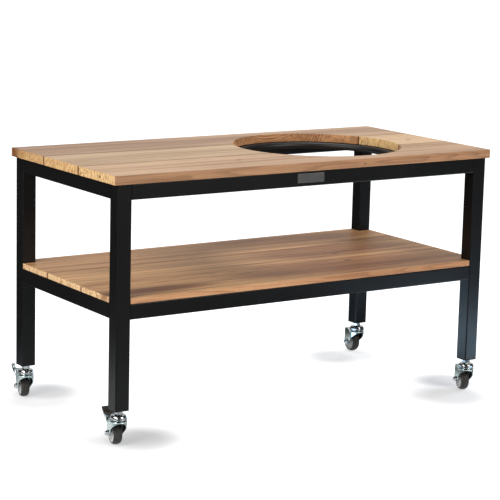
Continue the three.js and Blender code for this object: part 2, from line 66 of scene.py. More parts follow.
# Painted shadow by each castor, where the floor's glow is taken back: x and y from its wheel, radius and depth.
# Painted reflections, where the floor glows in mirrors only, bluish or plain: x, y, radius and brightness. Under
# each castor, the same painted reflection: radius and brightness. Lengths in metres
SHADOW_SPOTS = (("front_left", 0.09, 0.008, 0.23, 0.68), ("front_left", 0.03, -0.02, 0.3, 0.45),
                ("front_right", 0.015, 0.11, 0.18, 0.64), ("front_right", -0.09, -0.05, 0.25, 0.58),
                ("rear_left", 0.088, 0.01, 0.2, 0.65), ("rear_left", 0.02, -0.06, 0.25, 0.44),
                ("rear_right", -0.12, -0.05, 0.17, 0.5), ("rear_right", -0.03, -0.06, 0.18, 0.38))
COOL_SPOTS = [(1.15, -0.95, 0.52, 11.0), (2.3, -1.95, 0.4, 2.5), (0.13, 0.25, 0.52, 7.2), (-0.38, 0.95, 0.55, 4.4)]
PLAIN_SPOTS = [(-0.95, 0.06, 0.85, 1.0), (-0.4, -0.9, 0.7, 0.8), (-0.45, -0.25, 0.5, 0.45), (1.6, -3.8, 3.6, 0.36)]
UNDER_CASTOR = (0.36, 1.1)
SPOT_CORE = 0.25
FLOOR_REACH = 40
FLOOR_GLOW = 1.02
MIRRORED_FLOOR = 0.05
ROOM_LIGHT = 0.4
TOWARDS_BACKDROP = (0.5, 0.86, 0.0)
BACKDROP_EDGE, MIRRORED_ROOM = (0.5, 0.9), (0.05, 0.85)
# Settings that many nodes share: a smooth step between two values, and the mixing of colours
SMOOTH = {"interpolation_type": "SMOOTHSTEP"}
COLOUR = {"data_type": "RGBA"}
WHITE, BLACK = (1, 1, 1, 1), (0, 0, 0, 1)


def turned(place, forward, right):
    """The matrix of a lamp or camera at a place that looks along forward, with right as its own right-hand side."""
    forward = forward / np.linalg.norm(forward)
    right = right - forward * (right @ forward)
    right = right / np.linalg.norm(right)
    matrix = np.eye(4)
    matrix[:3] = np.stack([right, np.cross(right, forward), -forward, place], axis=1)
    return Matrix(matrix.tolist())


def linked(name, data):
    """An object made of its data and linked into the scene."""
    made = bpy.data.objects.new(name, data)
    scene.collection.objects.link(made)
    return made


def put_camera():
    """Lens and shift follow from the focal length and picture centre in pixels of the 500-pixel photograph."""
    data = bpy.data.cameras.new("camera")
    data.lens = FOCAL_LENGTH / PICTURE * data.sensor_width
    data.shift_x = (PICTURE / 2 - PICTURE_CENTRE[0]) / PICTURE
    data.shift_y = (PICTURE_CENTRE[1] - PICTURE / 2) / PICTURE
    camera = linked("camera", data)
    camera.matrix_world = turned(CAMERA_PLACE, CAMERA_FORWARD, CAMERA_RIGHT)
    scene.camera = camera


def linear(colour, alpha=1):
    """An sRGB hex colour as linear red, green and blue with alpha, by the sRGB curve."""
    srgb = np.array([int(colour[i:i + 2], 16) for i in (1, 3, 5)]) / 255
    low = srgb / 12.92
    high = ((srgb + 0.055) / 1.055) ** 2.4
    return (*np.where(srgb <= 0.04045, low, high), alpha)


def put(tree, node, inputs):
    """Fills a node's inputs, given in the order of its sockets or by their names or numbers. A value is set, a
    socket is linked, and a node gives the first of its outputs that is in use."""
    for key, value in inputs.items() if isinstance(inputs, dict) else enumerate(inputs):
        if isinstance(value, bpy.types.Node):
            value = next(output for output in value.outputs if output.enabled)
        if isinstance(value, bpy.types.NodeSocket):
            tree.links.new(value, node.inputs[key])
        else:
            node.inputs[key].default_value = value


def add(tree, kind, inputs=(), stops=(), **settings):
    """Adds one node with its own settings and its inputs. Stops are the places and hex colours of a ramp."""
    made = tree.nodes.new("ShaderNode" + kind)
    for key, value in settings.items():
        setattr(made, key, value)
    put(tree, made, inputs)
    elements = made.color_ramp.elements if stops else ()
    while len(elements) < len(stops):
        elements.new(1)
    for element, (place, colour) in zip(elements, stops):
        element.position = place
        element.color = linear(colour)
    return made


def layered(tree, whole, *layers):
    """A value or pattern with further patterns laid over it: each is added, times its weight."""
    for pattern, weight in layers:
        whole = add(tree, "Math", (pattern, weight, whole), operation="MULTIPLY_ADD")
    return whole


def distance_from(tree, place, centre, scale):
    """How far each point is from a centre in metres, with x, y and z scaled."""
    moved = tuple(-np.multiply(centre, scale))
    near = add(tree, "Mapping", {"Vector": place, "Location": moved, "Scale": scale})
    return add(tree, "VectorMath", (near,), operation="LENGTH")


def finish_of(name, roughness, metallic=0.0, specular=0.5):
    """A plain finish: its tree, its shader with the single values set on it, and its Object coordinates."""
    material = bpy.data.materials.new(name)
    material.use_nodes = True
    tree = material.node_tree
    shader = tree.nodes["Principled BSDF"]
    put(tree, shader, {"Roughness": roughness, "Metallic": metallic, "Specular IOR Level": specular})
    return material, tree, shader, add(tree, "TexCoord").outputs["Object"]


def lamp(name, place, target, size, power, colour, mirrored=True):
    """A soft rectangular lamp at a place in metres that faces a target; size is its width and height. Steel and
    varnish mirror it only if it is mirrored."""
    data = bpy.data.lights.new(name, "AREA")
    data.shape = "RECTANGLE"
    data.size, data.size_y = size
    data.energy = power
    data.color = linear(colour)[:3]
    made = linked(name, data)
    made.visible_glossy = mirrored
    forward = np.subtract(target, place)
    made.matrix_world = turned(np.array(place), forward, np.cross(forward, (0, 0, 1)))


def patches(tree, place, spots):
    """The value of each spot (x, y, radius in metres, value) in its core, falling smoothly to nothing at its rim,
    and where spots meet the greatest."""
    whole = 0.0
    for x, y, radius, value in spots:
        away = add(tree, "VectorMath", (place, (x, y, 0)), operation="DISTANCE")
        patch = add(tree, "MapRange", (away, radius * SPOT_CORE, radius, value, 0.0), **SMOOTH)
        whole = add(tree, "Math", (whole, patch), operation="MAXIMUM")
    return whole


def put_floor():
    """White paper. Its own glow takes the large shadow away and is taken back round each castor as painted shadow,
    where the castors' own shadows also show. Only mirrored, it glows as painted reflections near the castors and on
    the right, and is dim farther off."""
    mesh = bpy.data.meshes.new("studio_floor")
    mesh.from_pydata([(x * FLOOR_REACH, y * FLOOR_REACH, 0) for x, y in ((-1, -1), (1, -1), (1, 1), (-1, 1))], [],
                     [(0, 1, 2, 3)])
    floor = linked("studio_floor", mesh)
    paper, tree, shader, place = finish_of("white_paper_floor", 0.9, specular=0.1)
    ray = add(tree, "LightPath").outputs
    feet = {corner: joints[f"wheel_spin_{corner}"]["pos_m"][:2] for corner in CORNERS}
    # Painted shadow: patches round the castors where the floor's glow is taken back, so that the floor is darker there
    shadows = patches(tree, place, [(feet[corner][0] + x, feet[corner][1] + y, *spot)
                                    for corner, x, y, *spot in SHADOW_SPOTS])
    # Painted reflections: patches where the floor glows for mirrored rays only, bluish where they are cool
    bright = patches(tree, place, [(*feet[corner], *UNDER_CASTOR) for corner in CORNERS] + PLAIN_SPOTS)
    cool = patches(tree, place, COOL_SPOTS)
    clear = add(tree, "Math", (ray["Is Camera Ray"], ray["Is Transmission Ray"]), operation="MAXIMUM")
    seen = add(tree, "Math", (FLOOR_GLOW, shadows), operation="SUBTRACT")
    seen = add(tree, "Math", (clear, seen), operation="MULTIPLY")
    mirrored = add(tree, "Math", (bright, cool), operation="MAXIMUM")
    mirrored = add(tree, "Math", (mirrored, MIRRORED_FLOOR), operation="ADD")
    strength = add(tree, "Math", (mirrored, ray["Is Glossy Ray"], seen), operation="MULTIPLY_ADD")
    tint = add(tree, "Mix", {0: cool, 6: linear("#eef4f4"), 7: linear("#a9c4da")}, **COLOUR)
    tint = add(tree, "Mix", {0: ray["Is Glossy Ray"], 6: WHITE, 7: tint}, **COLOUR)
    sheet = add(tree, "Mix", {0: ray["Is Glossy Ray"], 6: linear("#b0b2b6"), 7: BLACK}, **COLOUR)
    put(tree, shader, {"Base Color": sheet})
    glow = add(tree, "Emission", (tint, strength))
    put(tree, tree.nodes["Material Output"], {"Surface": add(tree, "AddShader", (shader, glow))})
    mesh.materials.append(paper)


def put_backdrop():
    """A world that is white where it is seen, and mirrored white behind the table and dark before it. It gives the
    object a plain faint light from all round."""
    scene.world = bpy.data.worlds.new("studio")
    scene.world.use_nodes = True
    tree = scene.world.node_tree
    ray = add(tree, "LightPath").outputs
    direction = add(tree, "TexCoord").outputs["Generated"]
    behind = add(tree, "VectorMath", (direction, TOWARDS_BACKDROP), operation="DOT_PRODUCT")
    behind = add(tree, "MapRange", (behind, *BACKDROP_EDGE, *MIRRORED_ROOM), **SMOOTH)
    room = add(tree, "Math", (ray["Is Diffuse Ray"], ROOM_LIGHT), operation="MULTIPLY")
    mirror = add(tree, "Math", (ray["Is Glossy Ray"], behind), operation="MULTIPLY")
    clear = add(tree, "Math", (ray["Is Camera Ray"], ray["Is Transmission Ray"]), operation="MAXIMUM")
    strength = add(tree, "Math", (room, mirror), operation="MAXIMUM")
    strength = add(tree, "Math", (strength, clear), operation="MAXIMUM")
    put(tree, tree.nodes["Background"], {"Color": WHITE, "Strength": strength})


put_camera()
put_floor()
put_backdrop()
lamp("key_softbox", (-3.6, -0.9, 2.4), (0, 0, 0.5), (2.2, 1.6), 104, "#fffaf2")
lamp("front_softbox", (1.2, -3.6, 2.2), (0.1, 0, 0.4), (1.8, 1.4), 76, "#fff8f0")
lamp("top_softbox", (0.4, 0.6, 3.6), (0, 0, 0.6), (2.0, 1.4), 50, "#ffffff")
lamp("right_softbox", (3.4, -0.6, 1.9), (0.2, 0, 0.8), (1.2, 1.2), 45, "#eaf2ff", mirrored=False)
lamp("left_strip", (-3.2, -2.5, 0.6), (-0.7, -0.3, 0.4), (0.25, 1.1), 14, "#ffffff")


# Surfaces

SAME_POINT, NO_LENGTH = 2e-6, 1e-7
SHARP_TURN = 0.5
FLAT_EDGE, END_BROKEN, END_EDGE = 1.5, 0.2, 2
BOARD_CORNER = 1.6


def grid_faces(rows, columns, round_rows=False, round_columns=False, first=0):
    """Four-sided faces between the neighbours of a grid of points; a round direction joins its end to its start."""
    i, j = np.meshgrid(np.arange(rows - (not round_rows)), np.arange(columns - (not round_columns)), indexing="ij")
    below, beside = (i + 1) % rows, (j + 1) % columns
    faces = np.stack([i * columns + j, below * columns + j, below * columns + beside, i * columns + beside], -1)
    return first + faces.reshape(-1, 4)


def make_piece(name, points, face_sets, material, slot, body, *nodes, inner=None):
    """A mesh of points in millimetres and of sets of faces with one face a row. Doubled points are merged and its
    faces turned outwards. It rides on its body and stands for the CAD nodes. The second set of faces takes the
    inner finish, if there is one."""
    corners = np.concatenate([faces.ravel() for faces in face_sets]).astype(np.int32)
    counts = np.concatenate([np.full(*faces.shape) for faces in face_sets])
    mesh = bpy.data.meshes.new(name)
    mesh.vertices.add(len(points))
    mesh.vertices.foreach_set("co", (points * MM).astype(np.float32).ravel())
    mesh.loops.add(len(corners))
    mesh.polygons.add(len(counts))
    mesh.polygons.foreach_set("loop_start", np.concatenate([[0], np.cumsum(counts)[:-1]]).astype(np.int32))
    mesh.polygons.foreach_set("vertices", corners)
    if inner:
        finish = np.repeat(np.arange(len(face_sets)) == 1, [len(faces) for faces in face_sets])
        mesh.polygons.foreach_set("material_index", finish.astype(np.int32))
    mesh.update(calc_edges=True)
    mesh.validate()
    work = bmesh.new()
    work.from_mesh(mesh)
    bmesh.ops.remove_doubles(work, verts=work.verts, dist=SAME_POINT)
    bmesh.ops.dissolve_degenerate(work, dist=NO_LENGTH, edges=work.edges)
    bmesh.ops.recalc_face_normals(work, faces=work.faces)
    work.to_mesh(mesh)
    work.free()
    mesh.polygons.foreach_set("use_smooth", np.ones(len(mesh.polygons), bool))
    mesh.materials.append(material)
    if inner:
        mesh.materials.append(inner)
    piece = linked(name, mesh)
    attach(piece, body)
    if nodes:
        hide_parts(*nodes)
    return piece


def crisp(piece, width, angle):
    """Rounds the edges of a piece that are sharper than an angle, so that they catch the light as real edges do."""
    bevel = piece.modifiers.new("eased_edges", "BEVEL")
    bevel.width = width * MM
    bevel.segments = 2
    bevel.limit_method = "ANGLE"
    bevel.angle_limit = np.radians(angle)
    bevel.harden_normals = True


def edges_of(outline):
    """Unit vectors along the edge before and the edge after each corner of a closed outline."""
    after = np.roll(outline, -1, axis=0) - outline
    after = after / np.linalg.norm(after, axis=1, keepdims=True)
    return np.roll(after, 1, axis=0), after


def inset(outline, distance):
    """A closed outline moved inwards: each corner goes along the sum of its two edges' normals over one plus their
    dot product, the mitre of a polygon. The outline runs counter-clockwise."""
    before, after = (np.stack([-edge[:, 1], edge[:, 0]], 1) for edge in edges_of(outline))
    return outline + distance * (after + before) / (1 + (after * before).sum(1, keepdims=True))


def arc(centre, radius, start, end, count):
    """Points of an arc from one angle to another, in degrees."""
    angle = np.radians(np.linspace(start, end, count))
    return np.array(centre) + radius * np.stack([np.cos(angle), np.sin(angle)], 1)


def skin(rings):
    """Points and faces of rings of equal count that close on themselves both ways."""
    rings = np.asarray(rings, float)
    return rings.reshape(-1, 3), [grid_faces(*rings.shape[:2], True, True)]


def loft(rings):
    """Points and faces of a skin through rings of equal count, closed by a flat face at each end."""
    rings = np.asarray(rings, float)
    layers, count = rings.shape[:2]
    ends = [np.arange(count)[None] + first for first in (0, (layers - 1) * count)]
    return rings.reshape(-1, 3), [grid_faces(layers, count, False, True), *ends]


def soften(outline, radius, count=5):
    """An outline whose sharp corners become arcs. The arc touches both edges at the radius times the tangent of half
    the turn. One more point past each end of the arc keeps the flat faces' own shading flat."""
    before, after = edges_of(outline)
    turn = np.arctan2(before[:, 0] * after[:, 1] - before[:, 1] * after[:, 0], (before * after).sum(1))
    points = []
    for corner, ahead, onward, angle in zip(outline, before, after, turn):
        if abs(angle) < SHARP_TURN:
            points.append([corner])
            continue
        reach = radius * np.tan(abs(angle) / 2)
        start = corner - ahead * reach
        middle = start + np.array([-ahead[1], ahead[0]]) * np.sign(angle) * radius
        first = np.degrees(np.arctan2(*(start - middle)[::-1]))
        points += [[start - ahead * FLAT_EDGE], arc(middle, radius, first, first + np.degrees(angle), count),
                   [corner + onward * (reach + FLAT_EDGE)]]
    return np.concatenate(points)


def rounded_box(width, depth, radius, count=7):
    """The outline of a rectangle about the origin with round corners, counter-clockwise."""
    return soften(np.array([(1, 1), (-1, 1), (-1, -1), (1, -1)]) / 2 * (width, depth), radius, count)


def board(outline, bottom, top, ease, facets=5):
    """Rings of a board: its outline goes up the sides and is drawn in by a quarter circle at both arrises. One
    more ring just inside each face keeps the face's own shading flat."""
    turn = np.radians(np.linspace(0, 90, facets))
    drawn_in = ease * (1 - np.sin(turn))
    lifted = ease * (1 - np.cos(turn))
    outline = soften(outline, ease + BOARD_CORNER)
    steps = [(ease + FLAT_EDGE, bottom), *zip(drawn_in, bottom + lifted),
             *zip(drawn_in[::-1], top - lifted[::-1]), (ease + FLAT_EDGE, top)]
    return [np.insert(inset(outline, distance), 2, height, axis=1) for distance, height in steps]


def square_tube(box, axis, wall, radius, facets=9):
    """A square tube along an axis that fills a box: outer and inner rounded squares, joined at both ends. The end
    edges are broken by a fraction of a millimetre, and one more ring past them keeps the faces' own shading flat."""
    low, high = (np.array(corner) / MM for corner in box)
    across = [i for i in range(3) if i != axis]
    size, middle = (high - low)[across], ((high + low) / 2)[across]
    outer = rounded_box(*size, radius, facets)
    inner = rounded_box(*(size - 2 * wall), radius - wall, facets)
    end = ((inner, END_EDGE), (inner, 0), (inset(outer, END_BROKEN), 0), (outer, END_BROKEN), (outer, END_EDGE))
    places = [(outline, low[axis] + deep) for outline, deep in end]
    places += [(outline, high[axis] - deep) for outline, deep in end[::-1]]
    return skin([np.insert(outline + middle, axis, along, axis=1) for outline, along in places])


def turned_about(profile, count):
    """A profile of radius and height carried round the z axis."""
    angle = np.linspace(0, 2 * np.pi, count, endpoint=False)
    radius, height = np.asarray(profile, float).T[:, :, None]
    return np.stack([radius * np.cos(angle), radius * np.sin(angle), height + 0 * angle], -1)


def rounded_profile(corners, count=5):
    """A polygon of (radius, height, rounding) with each corner replaced by a curve that starts and ends that far
    from it: the quadratic curve with the corner as its middle point."""
    corners = np.asarray(corners, float)
    points, reach = corners[:, :2], corners[:, 2:]
    before, after = edges_of(points)
    start, end = points - before * reach, points + after * reach
    t = np.linspace(0, 1, count)[None, :, None]
    curve = start[:, None] * (1 - t) ** 2 + 2 * points[:, None] * t * (1 - t) + end[:, None] * t ** 2
    return curve.reshape(-1, 2)


# Materials

# Patterns in the wood: how often each goes by in a metre along x, y and z, its detail and its roughness. Streaks
# are 25 mm wide, fine ones 8 mm, fibres 1 mm, pores 0.7 mm by 20 mm, and rays in the cut ends 8 mm by 16 mm
GRAIN = {"wander": ((0.9, 11, 11), 3, 0.5), "streak": ((0.55, 40, 40), 4, 0.6), "fine": ((1.5, 130, 130), 3, 0.6),
         "cloud": ((1.6, 9, 9), 2, 0.5), "fibre": ((7, 1000, 1000), 3, 0.6), "pore": ((50, 1400, 1400), 2, 0.5),
         "rays": ((60, 120, 60), 4, 0.75)}
RINGS_A_METRE = 200
RING_TONES = ((0, "#202020"), (0.55, "#5a5a5a"), (0.9, "#e8e8e8"), (1, "#303030"))
# Painted shade: the dark grey-brown of faces that look down stands for the shade under the planks
UNDERSIDE_PAINTED_SHADE = ("#857a6e", "#5c534a")
PORE_TINT, HEART_TINT, SEAM_TINT, KNOT_TINT = "#9a7a5e", "#9c7a63", "#82583c", "#4f2f1b"
# A knot's width as a share of its length, and how little the rings change along a trunk
KNOT_SLIM, TAPER = 0.55, 0.02


def hardwood(name, face, side, end, seed, pith, seams=(), knots=(), hearts=(), end_from=0.6):
    """Teak, sawn, sanded and oiled. It is drawn as a solid trunk: rings 5 mm apart round a pith that runs along the
    plank, so faces show long streaks and arches and the cut ends show the rings. Face, side and end are pairs of a
    light and a dark colour. A face that looks left is an end from the given share of its normal on. Seams are the y
    of the joints, dark with oil. Knots are x, y, z and radius, and hearts, the dark middle of a trunk, are x, y, z,
    reach along x and reach across, all in mm, and their depth. It gives the eye warm streaks, browner sides under a
    paler, greyer face, streaked yellow ends and a grey underside, which is painted shade."""
    material, tree, shader, place = finish_of(name, 0.5, specular=0.35)
    leaning = np.radians(0.5 * np.sin(seed * 5))
    trunk = add(tree, "Mapping", {"Vector": place, "Location": (seed * 1.7, 0, 0), "Rotation": (0, 0, leaning)})
    grain = {}
    for pattern, (often, detail, rough) in GRAIN.items():
        along = add(tree, "Mapping", {"Vector": trunk, "Scale": often})
        grain[pattern] = add(tree, "TexNoise", {"Vector": along, "Scale": 1.0, "Detail": detail, "Roughness": rough})
    streak, fine, fibre = grain["streak"], grain["fine"], grain["fibre"]

    radius = distance_from(tree, trunk, (0, pith[0] * MM, pith[1] * MM), (TAPER, 1, 1))
    radius = layered(tree, radius, (grain["wander"], 0.05))
    knotty = 0.0
    for *centre, size in np.array(knots).reshape(-1, 4) * MM:
        far = distance_from(tree, place, centre, (KNOT_SLIM, 1, 1))
        swirl = add(tree, "MapRange", (far, 0.0, size * 3, 1.0, 0.0), **SMOOTH)
        radius = layered(tree, radius, (swirl, size * 1.2))
        ragged = layered(tree, far, (fibre, size * 0.5))
        spot = add(tree, "MapRange", (ragged, size * 0.7, size * 1.6, 1.0, 0.0), **SMOOTH)
        knotty = add(tree, "Math", (knotty, spot), operation="MAXIMUM")
    ring = add(tree, "Math", (radius, RINGS_A_METRE), operation="MULTIPLY")
    ring = add(tree, "Math", (ring,), operation="FRACT")
    ring = add(tree, "ValToRGB", (ring,), RING_TONES)

    tone = layered(tree, 0.0, (streak, 0.9), (grain["cloud"], 0.45), (fibre, 0.3), (fine, 0.75), (ring, 0.14))
    side_tone = layered(tree, tone, (ring, 0.3))
    end_tone = layered(tree, grain["rays"], (streak, 0.35), (ring, 0.3))
    face_colour, side_colour, end_colour, under_colour = (
        add(tree, "Mix", {0: add(tree, "MapRange", (value, low, high)), 6: linear(light), 7: linear(dark)}, **COLOUR)
        for value, low, high, (light, dark) in ((tone, 1.06, 1.44, face), (side_tone, 1.05, 1.58, side),
                                                (end_tone, 0.67, 0.93, end), (tone, 1.06, 1.44, UNDERSIDE_PAINTED_SHADE)))

    facing = add(tree, "SeparateXYZ", (add(tree, "TexCoord").outputs["Normal"],)).outputs
    upward, rightward, leftward, downward = (
        add(tree, "MapRange", (facing[axis], first, last), **SMOOTH)
        for axis, first, last in (("Z", 0.5, 0.9), ("X", 0.6, 0.85), ("X", -end_from, -0.6 * end_from - 0.4),
                                  ("Z", -0.5, -0.9)))
    cut = add(tree, "Math", (rightward, leftward), operation="MAXIMUM")
    colour = side_colour
    # Faces that look down take the grey of painted shade
    for share, look in ((upward, face_colour), (cut, end_colour), (downward, under_colour)):
        colour = add(tree, "Mix", {0: share, 6: colour, 7: look}, **COLOUR)

    dots = add(tree, "MapRange", (grain["pore"], 0.6, 0.72))
    stains = [(add(tree, "Math", (dots, 0.45), operation="MULTIPLY"), PORE_TINT)]
    for x, y, z, reach, across, depth in hearts:
        far = distance_from(tree, place, (x * MM, y * MM, z * MM), tuple(1 / MM / np.array([reach, across, across])))
        ragged = layered(tree, far, (streak, 0.5))
        stains.append((add(tree, "MapRange", (ragged, 0.75, 1.5, depth, 0.0), **SMOOTH), HEART_TINT))
    oiled = add(tree, "Math", (cut, 0.4, 0.5), operation="MULTIPLY_ADD")
    for seam in seams:
        off = distance_from(tree, place, (0, seam * MM, 0), (0, 1, 0))
        ragged = layered(tree, off, (fine, 0.004))
        stain = add(tree, "MapRange", (ragged, 0.0045, 0.0085, 1.0, 0.0), **SMOOTH)
        stains.append((add(tree, "Math", (stain, oiled), operation="MULTIPLY"), SEAM_TINT))
    for share, tint in stains:
        colour = add(tree, "Mix", {0: share, 6: colour, 7: linear(tint)}, blend_type="MULTIPLY", **COLOUR)
    if knots:
        share = add(tree, "Math", (knotty, 0.9), operation="MULTIPLY")
        colour = add(tree, "Mix", {0: share, 6: colour, 7: linear(KNOT_TINT)}, **COLOUR)

    dull = add(tree, "MapRange", (fibre, 0.0, 1.0, 0.42, 0.62))
    relief = layered(tree, 0.0, (fibre, 0.6), (dots, -0.8))
    bump = add(tree, "Bump", {"Height": relief, "Strength": 0.35, "Distance": 0.3 * MM})
    put(tree, shader, {"Base Color": colour, "Roughness": dull, "Normal": bump})
    return material


def surface(name, roughness, tones, relief, gloss=(), stretch=(), **level):
    """A finish whose patterns are noises of so many lumps a metre, a detail and a roughness. Tones is a noise with
    the places and colours of its ramp, relief a noise with its strength and its depth in metres, and gloss, where
    the sheen is uneven, a noise, the part of it that counts and the two roughnesses that it goes between. Stretch
    is how much finer the noises are along x, y and z."""
    material, tree, shader, place = finish_of(name, roughness, **level)
    if stretch:
        place = add(tree, "Mapping", {"Vector": place, "Scale": stretch})
    noises = dict.fromkeys((tones[0], relief[0], *gloss[:1]))
    for scale, detail, rough in noises:
        noises[scale, detail, rough] = add(tree, "TexNoise", {"Vector": place, "Scale": scale, "Detail": detail,
                                                              "Roughness": rough})
    colour = add(tree, "ValToRGB", (noises[tones[0]],), tones[1:])
    bump = add(tree, "Bump", {"Height": noises[relief[0]], "Strength": relief[1], "Distance": relief[2]})
    put(tree, shader, {"Base Color": colour, "Normal": bump})
    if gloss:
        put(tree, shader, {"Roughness": add(tree, "MapRange", (noises[gloss[0]], *gloss[1:]))})
    return material


def powder_coat(name, sheen, sharp, blurred):
    """Black powder coat on steel tube, baked: a satin skin with orange peel of about 1.2 mm and paler specks of
    4 mm, so that edges catch a soft grey line and faces stay nearly black. More sheen where the tube was rolled."""
    return surface(name, 0.32, tones=((240, 3, 0.7), (0.32, "#080809"), (0.7, "#151516")),
                   relief=((850, 2, 0.5), 0.25, 0.0002), gloss=((6, 4, 0.5), 0.3, 0.7, sharp, blurred),
                   specular=sheen)


def zinc(name, sharp, blurred, tones):
    """Bright zinc plate over steel, blue passivated: a mirror a little blurred by the sheet, with patches of cooler
    and warmer grey 18 mm wide and dulled spots of 2.5 mm."""
    return surface(name, sharp, tones=((55, 3, 0.5), *zip((0.3, 0.5, 0.62, 0.75), tones)),
                   relief=((160, 3, 0.5), 0.12, 0.0004), gloss=((420, 4, 0.7), 0.35, 0.75, sharp, blurred),
                   metallic=1.0)


coat = powder_coat("black_powder_coat", 0.28, 0.28, 0.38)
rolled_coat = powder_coat("black_powder_coat_on_ring", 0.5, 0.42, 0.52)
plated = zinc("bright_zinc_on_plate", 0.1, 0.26, ("#b0c5c6", "#cad8d9", "#d6d8d4", "#b5c9cb"))
polished = zinc("bright_zinc_on_turned_steel", 0.14, 0.24, ("#a3a9ac", "#c2c6c8", "#cfcdcf", "#abb1b6"))
# The same plate on the inside of a pressing, where it is thin and greasy: a blurred sheen, and dark grey metal with
# darker runs 11 mm wide, which is partly painted shade inside the pressing
plated_inside = surface("dull_zinc_inside", 0.5, tones=((90, 4, 0.6), (0.35, "#39403f"), (0.7, "#59615f")),
                        relief=((90, 4, 0.6), 0.15, 0.0003), gloss=((90, 4, 0.6), 0.3, 0.7, 0.42, 0.6),
                        metallic=1.0)
# Grey-black moulded rubber: warm and matt, with mould grain of 0.5 mm and paler dust
tyre_rubber = surface("grey_rubber", 0.62, relief=((1800, 2, 0.5), 0.2, 0.0002), specular=0.35,
                      tones=((70, 5, 0.65), (0.3, "#2a2a29"), (0.55, "#363533"), (0.8, "#474644")))
# Light grey polypropylene, injection moulded: a soft sheen, faint flow marks and eroded grain of 0.4 mm
wheel_plastic = surface("grey_polypropylene", 0.42, tones=((40, 3, 0.5), (0.35, "#bcc0bf"), (0.65, "#cdd0ce")),
                        relief=((2400, 2, 0.5), 0.15, 0.0001))
# Black glass-filled nylon, moulded: dull, with a spark-eroded grain of 0.5 mm
nylon = surface("black_nylon", 0.55, tones=((1900, 3, 0.5), (0.35, "#161616"), (0.65, "#202020")),
                relief=((1900, 3, 0.5), 0.25, 0.0001), specular=0.35)
# Stainless sheet, brushed along its length: grey with fine lines 0.25 mm apart that stretch the highlight
plate_steel = surface("brushed_stainless_steel", 0.42, tones=((1, 3, 0.5), (0.3, "#606060"), (0.7, "#817f7d")),
                      relief=((1, 3, 0.5), 0.3, 0.00005), gloss=((1, 3, 0.5), 0.3, 0.7, 0.34, 0.52),
                      stretch=(18, 4000, 4000), metallic=1.0)


# Table

# What the planks of the top and the shelf are called, their slot, and how far their arrises are rounded
LEVELS = {"top": ("oiled_plank", "oiled_teak", 1.1), "shelf": ("shelf_board", "shelf_teak", 1.0)}
TUBE_WALL = 2.0
TUBE_CORNER = 3.5
LEG_GAP = 1.0
SEAM_HALF = 0.8
SHELF_EDGES = ("#dca97d", "#b5845d"), ("#f0cda0", "#b08252")
# Each plank's light and dark colour on its face, sides and ends, the number of its trunk, its pith from the middle
# of the plank, its knots, its hearts, and the share of its normal from which a face that looks left is an end
PLANKS = {
    "top_plank_rear": (
        ("#b8987a", "#876850"), ("#c69362", "#764e33"), ("#e6c089", "#9c6937"), 1.0, (-150, -60),
        [(600, 250, 867, 5)], [(-747, 335, 850, 12, 76, 0.9), (-650, 250, 868, 620, 300, 0.24)], 0.94),
    "top_plank_middle_left": (
        ("#c0a585", "#937556"), ("#bb8a5f", "#704a30"), ("#e6c08a", "#936232"), 2.3, (-190, -40), [], [], 0.6),
    "top_plank_middle_right": (
        ("#cfb08c", "#a9865f"), ("#bb8a5f", "#704a30"), ("#e2c08a", "#a87c46"), 3.1, (170, -30),
        [(640, -60, 868, 7)], [], 0.6),
    "top_plank_front": (
        ("#c4a382", "#8f6c4e"), ("#c2956f", "#9a7252"), ("#e8c591", "#9c7040"), 4.4, (90, -70),
        [(-746, -290, 852, 5), (-200, -240, 867, 6), (205, -385, 850, 2.5)],
        [(500, -300, 868, 720, 300, 0.22)], 0.94),
    "shelf_plank_rear": (
        ("#dcaa78", "#976b46"), *SHELF_EDGES, 5.2, (130, -40), [],
        [(330, 230, 479, 420, 90, 0.5), (620, 230, 479, 760, 400, 0.06)], 0.6),
    "shelf_plank_middle": (
        ("#e6b681", "#9c6f48"), *SHELF_EDGES, 6.7, (-150, -30), [(330, -60, 480, 8)],
        [(300, 0, 479, 330, 110, 0.7), (600, 0, 479, 720, 400, 0.24)], 0.6),
    "shelf_plank_front": (
        ("#deae7a", "#8e6240"), *SHELF_EDGES, 7.9, (110, -45), [(300, -180, 480, 9)],
        [(250, -250, 479, 480, 120, 0.7), (-560, -300, 479, 260, 40, 0.85), (600, -230, 479, 700, 400, 0.32)], 0.6),
}


def box_of(node):
    """Lowest and highest corner of a CAD node in millimetres."""
    return [np.array(corner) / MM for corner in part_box(node)]


ring_low, ring_high = box_of("support_ring")
ring_middle = (ring_low + ring_high) / 2
hole_middle = ring_middle[:2]
hole_radius = np.hypot(box_of("top_plank_middle_right")[0][0] - hole_middle[0],
                       box_of("top_plank_middle_right")[1][1] - hole_middle[1])


def hole_arc(first, last, count=97):
    """Points of the cut-out's edge between two angles about the middle of the hole, in radians."""
    return arc(hole_middle, hole_radius, np.degrees(first), np.degrees(last), count)


def top_outline(row):
    """A top plank's outline from above, counter-clockwise: its box, with the part inside the round hole cut out. The
    hole's edge meets a seam at the angle whose sine is the seam's distance from the middle over the radius."""
    (x0, y0, _), (x1, y1, _) = box_of(f"top_plank_{row}")
    lift = np.arcsin(abs((y0 if row == "rear" else y1) - hole_middle[1]) / hole_radius)
    parts = {"rear": ([(x0, y0)], hole_arc(np.pi - lift, lift), [(x1, y0), (x1, y1), (x0, y1)]),
             "front": ([(x0, y0), (x1, y0), (x1, y1)], hole_arc(-lift, lift - np.pi), [(x0, y1)]),
             "middle_left": ([(x0, y0)], hole_arc(np.pi + lift, np.pi - lift, 41), [(x0, y1)]),
             "middle_right": (hole_arc(lift, -lift, 41), [(x1, y0), (x1, y1)])}
    return np.concatenate(parts[row])


